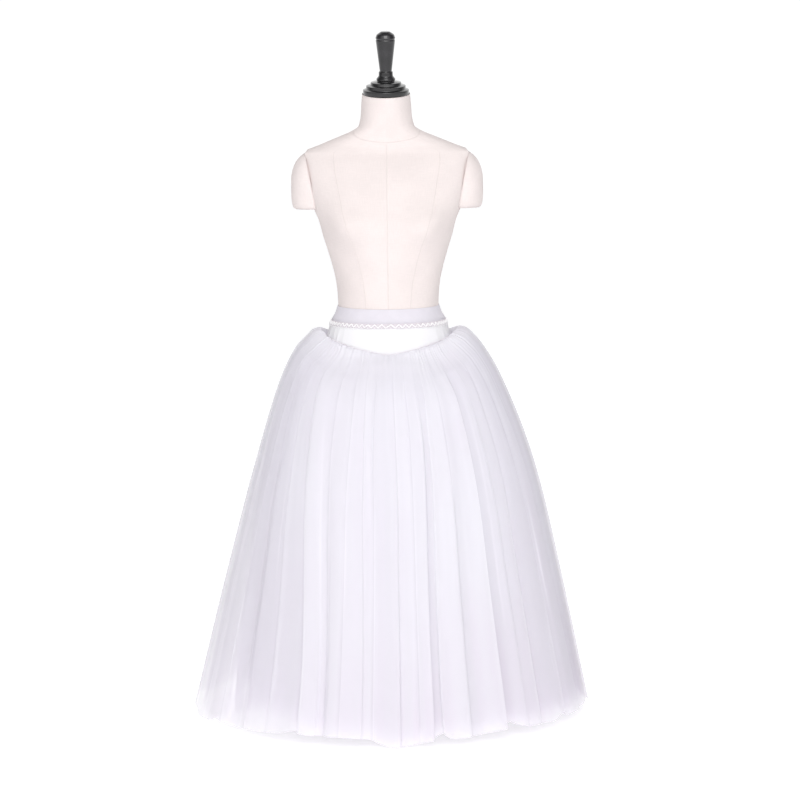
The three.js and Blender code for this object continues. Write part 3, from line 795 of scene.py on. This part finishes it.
def body_point(angle, z, out):
    """Points of the torso, moved out from its surface by some distance."""
    angle, z = np.broadcast_arrays(np.asarray(angle, float), np.asarray(z, float))
    half, front, back, power = (smooth_column(z, BODY["z"], BODY[name]) for name in BODY_COLUMNS[1:])
    x, y = ring_xy(angle, half + out, front + out, back + out, power)
    turned = (angle + 180) % 360 - 180
    for side in (-1, 1):
        swell = BUST["out"] * bell((turned - side * BUST["angle"]) / BUST["spread"]) * bell(
            (z - BUST["z"]) / BUST["spreadZ"])
        x = x + swell * np.sin(np.radians(turned)) * BUST["sideways"]
        y = y - swell
    limit = np.where(z >= ARM_PLATE["lowZ"], plate_x(np.minimum(z, ARM_PLATE["highZ"])), 1000)
    x = np.clip(x, -limit, limit)
    lean = np.maximum(0, z - NECK_LEAN_FROM_Z) / (NECK_TOP["z"] - NECK_LEAN_FROM_Z)
    return np.stack([x, y, z + lean * (y - NECK_TOP["y"]) * math.tan(math.radians(NECK_LEAN_DEG))], axis=-1)


def seam_groove(offset, width):
    """A sewn seam: a narrow groove with a soft swell on each side."""
    return 0.35 * bell((np.abs(offset) - 2.6 * width) / (1.5 * width)) - bell(offset / width)


def torso_columns():
    """Places round an even ring, closer together at the upright seams."""
    at_axis = np.array([0, 0.043, 0.1, 0.18, 0.3, 0.47, 0.74, 1.1, 1.6])
    between = np.array([0, 0.14, 0.29, 0.48, 0.72, 1.05, 1.5, 2.1])
    fine = []
    for start in SEAM_STARTS[:-1]:
        near = at_axis if start % 90 == 0 else between
        fine.append((start + np.concatenate([-near, near[1:]])) % 360)
    fine = np.concatenate(fine)
    even = np.arange(0, 360, 2.5)
    even = even[[np.abs(apart(place, fine)).min() > 0.8 for place in even]]
    return np.unique(np.concatenate([fine, even]))


def torso_angle(u, z):
    """The angle on the torso of a place on the even ring: the princess seams lean with height."""
    front = np.interp(z, PRINCESS_HEIGHTS, PRINCESS_FRONT)
    back = np.interp(z, PRINCESS_HEIGHTS, PRINCESS_BACK)
    stops = [0, front, 90, 180 - back, 180, 180 + back, 270, 360 - front, 360]
    return np.interp(u, SEAM_STARTS, stops)


def add_torso(linen, seam_depth):
    near = np.array([-4.5, -3, -2, -1.3, -0.8, -0.4, 0, 0.4, 0.8, 1.3, 2, 3, 4.5])
    seam_level = NECK_SEAM["level"]
    even = np.concatenate([BODY["z"], np.arange(632, 1389, 6.5)])
    even = even[np.abs(even - seam_level) > 5.5]
    levels = np.unique(np.concatenate([even, seam_level + near]))
    columns = torso_columns()
    _, level = np.meshgrid(columns, levels)
    a = np.array([torso_angle(columns, z) for z in levels])
    seam_z = ring_height(a, NECK_SEAM, NECK_SEAM_TURN)
    held = ease(SHOULDER_Z, seam_level, level) * (1 - ease(seam_level, NECK_LEAN_FROM_Z, level))
    z = level + (seam_z - seam_level) * held
    smooth = body_point(a, z, 0)
    step = np.linalg.norm(np.roll(smooth, -1, axis=1) - smooth, axis=-1)
    girth = step.sum(axis=1, keepdims=True)
    along = np.cumsum(step, axis=1) - step

    # line marks where the seams run; the linen is darkened there as painted shade in the grooves
    out, line = np.zeros_like(a), np.zeros_like(a)
    below_neck = 1 - ease(seam_level - 8, seam_level - 1, level)
    for start in SEAM_STARTS[:-1]:
        princess = start % 90 != 0
        life = below_neck * (1 - ease(SHOULDER_Z, SHOULDER_Z + 13, z)) if princess else below_neck
        offset = along - along[:, [np.searchsorted(columns, start)]]
        offset = (offset + girth / 2) % girth - girth / 2
        out += seam_depth * life * seam_groove(offset, 0.6)
        line += life * bell(offset / 0.7)
    out += seam_depth * seam_groove(level - seam_level, 0.7)
    line += bell((level - seam_level) / 0.8)
    points = body_point(a, z, out)
    piece = add_mesh("form_torso_cover", points, lidded_faces(*a.shape, outward=False), linen)
    add_uv(piece, a / 360 * CLOTH_ROUND["torso"], z * MM)
    add_share(piece, "seam_line", np.minimum(line, 1))
    settle(piece, "linen", "form_torso")


def add_stub(side, linen):
    stub = table(STUB_COLUMNS, STUB_ROWS)
    levels = np.linspace(STUB_ROWS[0][0], STUB_ROWS[-1][0], 44)
    turn = np.linspace(0, 180, 48)
    t, z = np.meshgrid(turn, levels)
    out, deep, centre = (smooth_column(z, stub["z"], stub[name]) for name in STUB_COLUMNS[1:])
    flat = plate_x(z) + SEAM_GAP
    x = flat + (out - flat) * np.sin(np.radians(t))
    points = np.stack([side * x, centre - side * deep * np.cos(np.radians(t)), z], axis=-1)
    name = "form_stub_right" if side > 0 else "form_stub_left"
    piece = add_mesh(name + "_cover", points, lidded_faces(*t.shape, outward=False), linen)
    add_uv(piece, t / 180 * CLOTH_ROUND["stub"], z * MM)
    add_share(piece, "seam_line", np.zeros_like(t))
    settle(piece, "linen", name)

    # The welt where the stub is sewn to the torso
    z = levels[1:-1]
    half = smooth_column(z, stub["z"], stub["deep"])
    middle = smooth_column(z, stub["z"], stub["centreY"])
    up = np.stack([side * plate_x(z), middle - half, z], axis=-1)
    down = np.stack([side * plate_x(z), middle + half, z], axis=-1)[::-1]
    welt = add_cords(name + "_welt", [np.concatenate([up, down])], 0.8, 6, linen)
    # Painted shade: the welt takes half the seams' darkening
    add_share(welt, "seam_line", np.full(len(welt.data.vertices), 0.5))
    settle(welt, "linen", name)


def add_cords(name, paths, radius, sides, material):
    """Round cords along closed paths; the radius is one number or one for each point of a path."""
    points, faces = [], []
    turn = np.linspace(0, TAU, sides, endpoint=False)[None, :, None]
    for path in paths:
        first = sides * sum(len(ring) for ring in points)
        along = unit(np.roll(path, -1, axis=0) - np.roll(path, 1, axis=0))
        side = unit(np.cross(along, unit(path * (1, 1, 0))))[:, None]
        up = np.cross(side, along[:, None])
        thick = np.broadcast_to(radius, len(path))[:, None, None]
        points.append(path[:, None] + thick * (np.cos(turn) * side + np.sin(turn) * up))
        faces += grid_faces(len(path), sides, wrap=True, first=first)
    return add_mesh(name, np.concatenate(points), faces, material)


def turned_points(profile, segments):
    """A ring of points for each radius and height of a profile."""
    turn = np.linspace(0, TAU, segments, endpoint=False)
    return np.array([np.stack([r * np.sin(turn), -r * np.cos(turn), np.full(segments, h)], axis=-1)
                     for r, h in profile])


def softened(profile):
    """The profile with each inner corner cut to a small curve."""
    corners = [Vector(p) for p in profile]
    soft = [corners[0]]
    for before, corner, after in zip(corners, corners[1:], corners[2:]):
        reach = min(CORNER["cut"], (corner - before).length * 0.45, (after - corner).length * 0.45)
        first = corner + (before - corner).normalized() * reach
        last = corner + (after - corner).normalized() * reach
        for step in range(CORNER["steps"] + 1):
            t = step / CORNER["steps"]
            soft.append((1 - t) ** 2 * first + 2 * t * (1 - t) * corner + t * t * last)
    soft.append(corners[-1])
    return [(p.x, p.y) for p in soft]


def add_turned(name, profile, segments, material):
    """A closed turned piece with its inner corners softened."""
    points = turned_points(softened(profile)[1:-1], segments)
    return add_mesh(name, points, lidded_faces(len(points), segments, outward=True), material)


# The waist


def add_body_wall(name, top, bottom, turn, levels, columns, inner, wall, material, shape):
    """A closed wall of cloth round the torso, and its area. shape moves its outside in or out."""
    angles = np.linspace(0, 360, columns, endpoint=False)
    a, level = np.meshgrid(angles, 0.5 - 0.5 * np.cos(np.linspace(0, math.pi, levels)))
    z = mix(ring_height(a, top), ring_height(a, bottom, turn), level)
    outside = body_point(a, z, inner + wall + shape(a, level))
    inside = body_point(a, z, inner)
    points = np.concatenate([outside, inside[::-1]])
    piece = add_mesh(name, points, grid_faces(2 * levels, columns, wrap=True), material)
    add_uv(piece, np.concatenate([a, a]) / 360 * CLOTH_ROUND["waist"], np.concatenate([z, z[::-1]]) * MM)
    return piece, sheet_area(outside)


def rounded_edge(level, amount):
    """How far a strip's face falls away at its two edges."""
    return -amount * np.abs(2 * level - 1) ** 8


def raised(heights, rise):
    return {place: height + rise for place, height in heights.items()}


def add_waistband(sizes):
    def shape(a, level):
        join = bell(apart(a, 180) / 1.6)
        return rounded_edge(level, 0.7) + 0.6 * join
    elastic = elastic_finish(sizes.band_colour)
    band, _ = add_body_wall("waistband_elastic", raised(BAND_TOP, 2), raised(BAND_BOTTOM, -1), 2, 14, 300, BAND_INSIDE,
                            BAND_CLEARANCE + BAND_WALL - BAND_INSIDE, elastic, shape)
    settle(band, "elastic", "waistband")

    # Two rows of zigzag stitches hold the band on
    thread = thread_finish("band_thread", shaded(sizes.band_colour, 0.97))
    a = np.linspace(0, 360, STITCHES["points"], endpoint=False)
    zigzag = np.abs((np.arange(len(a)) % 4) - 2) - 1
    rows = [body_point(a, ring_height(a, raised(BAND_BOTTOM, rise)) + STITCHES["swing"] * zigzag,
                       BAND_CLEARANCE + BAND_WALL + 0.02) for rise in STITCHES["rises"]]
    stitches = add_cords("waistband_stitches", rows, STITCHES["r"], 4, thread)
    settle(stitches, "elastic", "waistband")


def add_yoke(sizes):
    def shape(a, level):
        out = rounded_edge(level, 0.2)
        for place, spread, height, lean in YOKE_PUCKERS:
            out = out + height * bell(apart(a + lean * level, place) / spread) * ease(0.15, 0.75, level)
        for side in (-90, 90):
            out = out + 0.6 * bell(apart(a, side) / 1.1)
        return out
    top = raised(BAND_BOTTOM, -SEAM_GAP)
    yoke, area = add_body_wall("yoke_net", top, SEAM, SEAM_TURN, 18, 540, YOKE_CLEARANCE, YOKE_WALL,
                               net_finish("stretch_net_yoke", sizes.yoke_colour), shape)
    settle(yoke, "stretch_net", "yoke")

    # The overlocked seam that joins the yoke and the tulle
    a = np.linspace(0, 360, 900, endpoint=False)
    nubs = 0.35 * np.maximum(0, periodic_noise(a, 71, 150)) + 0.2 * np.maximum(0, periodic_noise(a, 72, 64))
    line = body_point(a, seam_height(a) + 0.5 + 0.3 * periodic_noise(a, 73, 90), YOKE_CLEARANCE + YOKE_WALL + 1)
    radius = sizes.seam_cord / MM / 2
    cord = add_cords("yoke_seam_cord", [line], radius * (0.75 + nubs), 6,
                     thread_finish("seam_thread", sizes.seam_colour))
    settle(cord, "stretch_net", "yoke")


def add_picot(sizes):
    """The trim: a narrow tape, a bold and a fine strand that cross in a chain of loops, and a scalloped edge."""
    inner = YOKE_CLEARANCE + YOKE_WALL + SEAM_GAP
    # The tape is real net, but its darker, pinker colour is painted shade between and under the strands
    cloth = net_finish("picot_ground_net", sizes.shaded_ground_colour)
    tape, _ = add_body_wall("picot_tape", raised(BAND_BOTTOM, -0.4), raised(BAND_BOTTOM, -10.6), 2, 10, 360, inner,
                            0.5, cloth, lambda a, level: rounded_edge(level, 0.25))
    settle(tape, "lace", "picot_trim")

    count = sizes.trim_repeats * 20
    a = np.linspace(0, 360, count, endpoint=False)
    phase = TAU * sizes.trim_repeats * a / 360
    zigzag = np.arcsin(PICOT["slant"] * np.sin(phase)) / math.asin(PICOT["slant"])
    top = ring_height(a, BAND_BOTTOM)
    proud = inner + PICOT["proud"]
    swing = PICOT["swing"] * (1 + 0.12 * periodic_noise(a, 77, sizes.trim_repeats)) * zigzag
    cross = PICOT["cross"] * np.cos(phase)
    scallop = PICOT["dip"] * np.abs(np.sin(phase / 2 - math.pi / 4)) ** 0.7
    strands = [
        body_point(a, top - PICOT["chain"] + swing, proud + cross),
        body_point(a, top - PICOT["chain"] - swing, proud - cross),
        body_point(a, top - PICOT["scallop"] - scallop, proud),
    ]
    thread = thread_finish("picot_thread", sizes.trim_colour)
    radius = sizes.trim_thread / MM / 2
    knots = 0.75 + 0.7 * bell(((phase / TAU - 0.75 + 0.5) % 1 - 0.5) / 0.09)
    thick = [np.full(count, PICOT["bold"] * radius), np.full(count, PICOT["fine"] * radius),
             PICOT["edge"] * radius * knots]
    cords = [add_cords(f"picot_strand_{i + 1}", [strand], width, 5, thread)
             for i, (strand, width) in enumerate(zip(strands, thick))]
    for cord in cords:
        settle(cord, "lace", "picot_trim")


def colour_property(name, description, *shade):
    return bpy.props.FloatVectorProperty(name=name, description=description, subtype="COLOR", size=4, min=0, max=1,
                                         default=colour(*shade))


class SkirtSizes(bpy.types.PropertyGroup):
    """Sizes and colours of the skirt"""
    gathers: bpy.props.IntProperty(name="Gathers", description="How many gathers the tulle has round its seam",
                                   default=150, min=20, max=300)
    net_cover: bpy.props.FloatProperty(name="Net cover", description="How dense the net is, as a share of its own",
                                       default=1, min=0.2, max=1.5, subtype="FACTOR")
    seam_cord: bpy.props.FloatProperty(name="Seam cord", description="Thickness of the seam under the yoke",
                                       default=0.0013, min=0.0004, max=0.004, unit="LENGTH")
    trim_repeats: bpy.props.IntProperty(name="Trim repeats", description="How many scallops the picot trim has",
                                        default=58, min=20, max=160)
    trim_thread: bpy.props.FloatProperty(name="Trim thread", description="Thickness of the picot trim's strands",
                                         default=0.002, min=0.0004, max=0.003, unit="LENGTH")
    tulle_colour: colour_property("Tulle", "Colour of the outer plies", 248, 247, 252)
    # A darker copy of the tulle's colour: painted shade of the plies underneath
    shaded_inner_colour: colour_property("Inner tulle", "Colour of the plies underneath", 234, 227, 241)
    # Painted shade and light of the thin hem, not a dye of the tulle
    painted_hem_shade_colour: colour_property("Tulle at the hem", "Colour that the tulle turns to at its hem", 240, 233, 243)
    band_colour: colour_property("Waistband", "Colour of the elastic", 218, 214, 222)
    yoke_colour: colour_property("Yoke", "Colour of the stretch net", 233, 232, 235)
    trim_colour: colour_property("Trim", "Colour of the picot trim's strands", 253, 252, 253)
    # A darker copy of the trim's white: painted shade between and under the strands
    shaded_ground_colour: colour_property("Trim's ground", "Colour of the net under the strands", 214, 206, 213)
    seam_colour: colour_property("Seam", "Colour of the seam's thread", 240, 234, 238)


class FormSizes(bpy.types.PropertyGroup):
    """Sizes and colours of the dress form and its light"""
    seam_depth: bpy.props.FloatProperty(name="Seam depth", description="Depth of the linen cover's seams",
                                        default=0.0006, min=0, max=0.003, unit="LENGTH")
    linen_colour: colour_property("Linen", "Colour of the form's cover", 231, 221, 219)
    lacquer_colour: colour_property("Cap", "Colour of the turned cap", 16, 15, 18)
    stand_colour: colour_property("Stand", "Colour of the pole and foot", 236, 236, 238)
    key_power: bpy.props.FloatProperty(name="Key light", description="Power of the main lamp", default=92, min=0,
                                       max=500, unit="POWER")


class SKIRT_OT_tulle(bpy.types.Operator):
    """Add the plies of gathered tulle"""
    bl_idname = "skirt.tulle"
    bl_label = "Tulle plies"

    def execute(self, context):
        for row in PLIES:
            add_ply(row, context.scene.skirt_sizes)
        return {"FINISHED"}


class SKIRT_OT_waist(bpy.types.Operator):
    """Add the waistband, the picot trim and the yoke"""
    bl_idname = "skirt.waist"
    bl_label = "Waistband, trim and yoke"

    def execute(self, context):
        sizes = context.scene.skirt_sizes
        add_waistband(sizes)
        add_yoke(sizes)
        add_picot(sizes)
        return {"FINISHED"}


class SKIRT_OT_form(bpy.types.Operator):
    """Add the dress form: torso, stubs, cap and stand"""
    bl_idname = "skirt.form"
    bl_label = "Dress form"

    def execute(self, context):
        sizes = context.scene.form_sizes
        linen = linen_finish(sizes.linen_colour)
        add_torso(linen, sizes.seam_depth / MM)
        for side in (1, -1):
            add_stub(side, linen)
        cap = add_turned("form_cap_turned", CAP_PROFILE, 96, gloss_finish(sizes.lacquer_colour))
        lean = Matrix.Rotation(math.radians(NECK_LEAN_DEG), 4, "X")
        place = Matrix.Translation((0, NECK_TOP["y"] * MM, (NECK_TOP["z"] + SEAM_GAP) * MM))
        cap.data.transform(place @ lean)
        settle(cap, "black_gloss", "form_cap")
        steel = steel_finish(sizes.stand_colour)
        foot = add_turned("stand_foot_plate", FOOT_PROFILE, 128, steel)
        settle(foot, "painted_steel", "stand_foot")
        profile = [(0, POLE["bottom"]), (POLE["r"], POLE["bottom"]), (POLE["r"], POLE["top"]), (0, POLE["top"])]
        pole = add_turned("stand_pole_tube", profile, 64, steel)
        settle(pole, "painted_steel", "stand_pole")
        return {"FINISHED"}


class SKIRT_OT_studio(bpy.types.Operator):
    """Add the pale floor, the soft light and the camera"""
    bl_idname = "skirt.studio"
    bl_label = "Studio"

    def execute(self, context):
        scene = context.scene
        scene.view_settings.view_transform = "Standard"
        scene.cycles.transparent_max_bounces = 48
        scene.cycles.diffuse_bounces = 6
        floor_paper = Finish("studio_paper")
        grain = floor_paper.noise(floor_paper.place(3), 3, 4)
        floor_paper.set(Base_Color=floor_paper.colours(grain, colour(206, 206, 208), colour(203, 203, 205)),
                        Roughness=0.95, Emission_Color=(1, 1, 1, 1), Emission_Strength=FLOOR["glow"])
        half = FLOOR["half"]
        corners = [(x * half, y * half, 0) for x, y in ((-1, -1), (1, -1), (1, 1), (-1, 1))]
        mesh = bpy.data.meshes.new("studio_floor")
        mesh.from_pydata(corners, [], [(0, 1, 2, 3)])
        mesh.materials.append(floor_paper.material)
        floor = bpy.data.objects.new("studio_floor", mesh)
        floor.location.z = FLOOR["z"]
        scene.collection.objects.link(floor)

        world = bpy.data.worlds.new("studio_light")
        world.use_nodes = True
        sky = Nodes(world.node_tree)
        backlight = world.node_tree.nodes["Background"]
        _, ahead, _ = sky.parts(sky.place(0))
        brightest = max(strength for _, strength in WORLD_GLOW)
        stops = [(place, (strength / brightest,) * 3 + (1,)) for place, strength in WORLD_GLOW]
        glow = sky.node("ShaderNodeValToRGB", {"stops": stops}, [ahead * 0.5 + 0.5]) * brightest
        seen = sky.node("ShaderNodeLightPath", {}, {})
        sky.set_socket(backlight.inputs["Color"], (1, 1, 1, 1))
        sky.set_socket(backlight.inputs["Strength"], glow * (1 - seen) + BACKDROP * seen)
        world.cycles.sampling_method = "NONE"
        scene.world = world

        light = bpy.data.lights.new("key_light", "AREA")
        light.energy = scene.form_sizes.key_power
        light.size = LAMP["size"]
        lamp = bpy.data.objects.new("key_light", light)
        lamp.location = LAMP["place"]
        aim = Vector(LAMP["aim"]) - lamp.location
        lamp.rotation_euler = aim.to_track_quat("-Z", "Y").to_euler()
        scene.collection.objects.link(lamp)

        camera_data = bpy.data.cameras.new("photo_camera")
        camera_data.sensor_width = CAMERA["sensor"]
        camera_data.lens = CAMERA["focal_px"] * CAMERA["sensor"] / CAMERA["picture"]
        camera_data.clip_end = 100
        camera = bpy.data.objects.new("photo_camera", camera_data)
        tilt = Matrix.Rotation(math.radians(90 - CAMERA["down"]), 4, "X")
        roll = Matrix.Rotation(math.radians(-CAMERA["roll"]), 4, "Z")
        spot = Matrix.Translation((CAMERA["x"] * MM, CAMERA["y"] * MM, CAMERA["z"] * MM))
        camera.matrix_world = spot @ tilt @ roll
        scene.collection.objects.link(camera)
        scene.camera = camera
        return {"FINISHED"}


class SKIRT_PT_panel(bpy.types.Panel):
    """Lists the pieces"""
    bl_idname = "SKIRT_PT_panel"
    bl_label = "Tulle skirt"
    bl_space_type = "VIEW_3D"
    bl_region_type = "UI"
    bl_category = "Skirt"

    def draw(self, context):
        for operator in OPERATORS:
            self.layout.operator(operator.bl_idname)


OPERATORS = (SKIRT_OT_studio, SKIRT_OT_form, SKIRT_OT_waist, SKIRT_OT_tulle)
CLASSES = (SkirtSizes, FormSizes) + OPERATORS + (SKIRT_PT_panel,)


def register():
    for cls in CLASSES:
        bpy.utils.register_class(cls)
    bpy.types.Scene.skirt_sizes = bpy.props.PointerProperty(type=SkirtSizes)
    bpy.types.Scene.form_sizes = bpy.props.PointerProperty(type=FormSizes)


def unregister():
    del bpy.types.Scene.form_sizes
    del bpy.types.Scene.skirt_sizes
    for cls in reversed(CLASSES):
        bpy.utils.unregister_class(cls)


def main():
    register()
    bpy.ops.skirt.studio()
    bpy.ops.skirt.form()
    bpy.ops.skirt.waist()
    bpy.ops.skirt.tulle()


if __name__ == "__main__":
    main()
